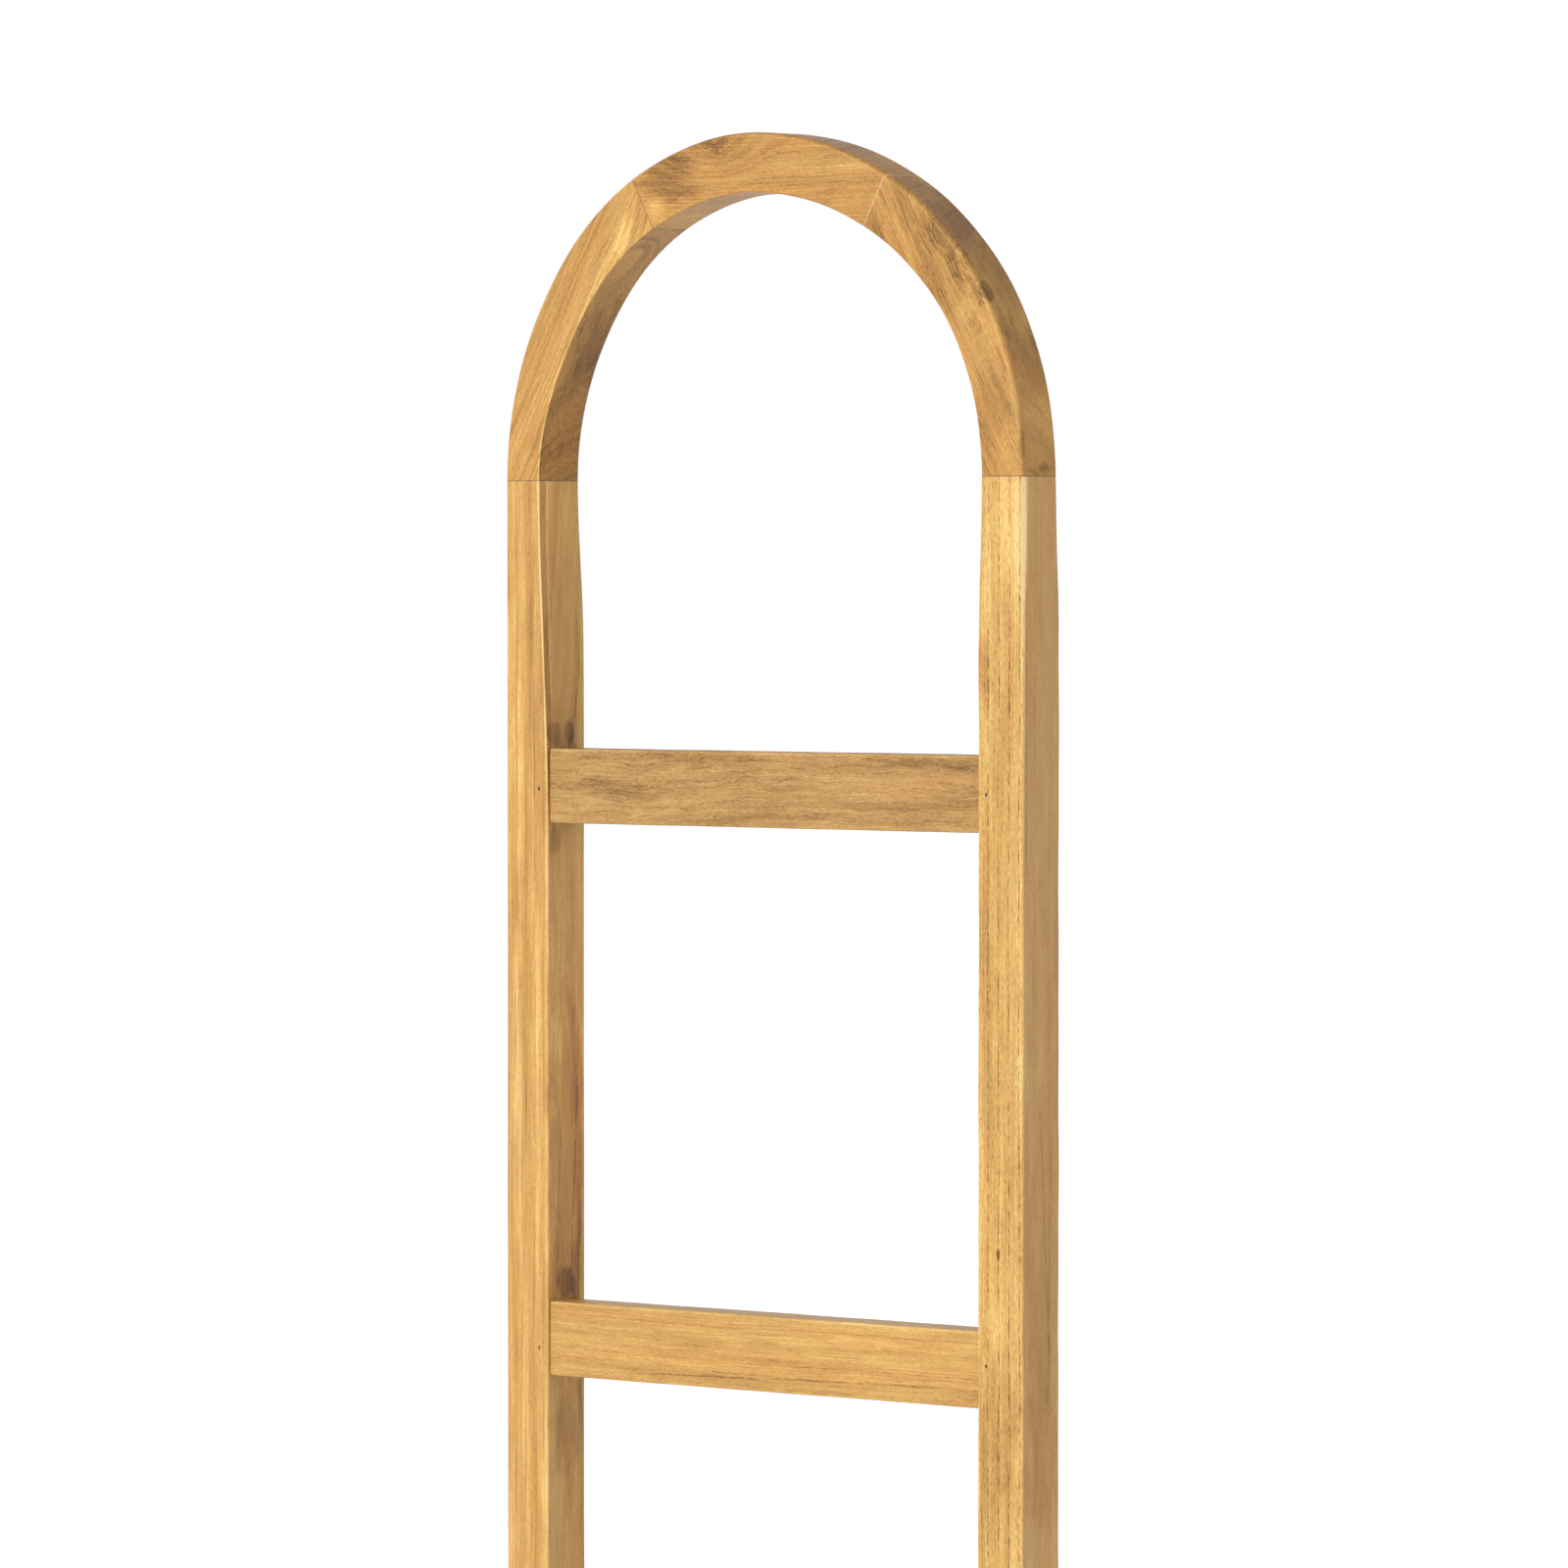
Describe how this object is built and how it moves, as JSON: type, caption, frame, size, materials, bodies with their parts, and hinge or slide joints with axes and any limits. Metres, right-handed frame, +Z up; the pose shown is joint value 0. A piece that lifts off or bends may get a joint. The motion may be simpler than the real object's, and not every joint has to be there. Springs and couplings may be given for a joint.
{
  "type": "arched ladder rack",
  "caption": "Arch-topped teak ladder rack: flat rungs between straight square stiles, for hanging towels and as a handhold.",
  "frame": {"origin": "on the floor, midway between the feet, at the bottom centre of the bounding box", "axes": "+Z up the stiles; the front faces -Y, where the stiles and arch are flush; +X to the right seen from the front"},
  "size_m": [0.4572, 0.038, 1.8273],
  "materials": {
    "teak_stile": "oiled, satin, straight grain",
    "teak_arch": "oiled, satin, straight grain along each segment",
    "teak_rung": "oiled, satin, slightly interlocked grain",
    "beech_dowel": "plain, glued in",
    "brad_steel": "bright steel under a dark filler"
  },
  "bodies": {
    "root": {"arch_left": "teak_arch", "arch_crown": "teak_arch", "arch_right": "teak_arch", "stile_left": "teak_stile", "stile_right": "teak_stile", "rung_1": "teak_rung", "rung_2": "teak_rung", "rung_3": "teak_rung", "rung_4": "teak_rung", "dowel_right_stile_inner": "beech_dowel", "dowel_right_stile_outer": "beech_dowel", "dowel_right_crown_inner": "beech_dowel", "dowel_right_crown_outer": "beech_dowel", "dowel_left_crown_inner": "beech_dowel", "dowel_left_crown_outer": "beech_dowel", "dowel_left_stile_inner": "beech_dowel", "dowel_left_stile_outer": "beech_dowel", "brad_rung_1_left": "brad_steel", "brad_rung_1_right": "brad_steel", "brad_rung_2_left": "brad_steel", "brad_rung_2_right": "brad_steel", "brad_rung_3_left": "brad_steel", "brad_rung_3_right": "brad_steel", "brad_rung_4_left": "brad_steel", "brad_rung_4_right": "brad_steel"}
  },
  "joints": []
}
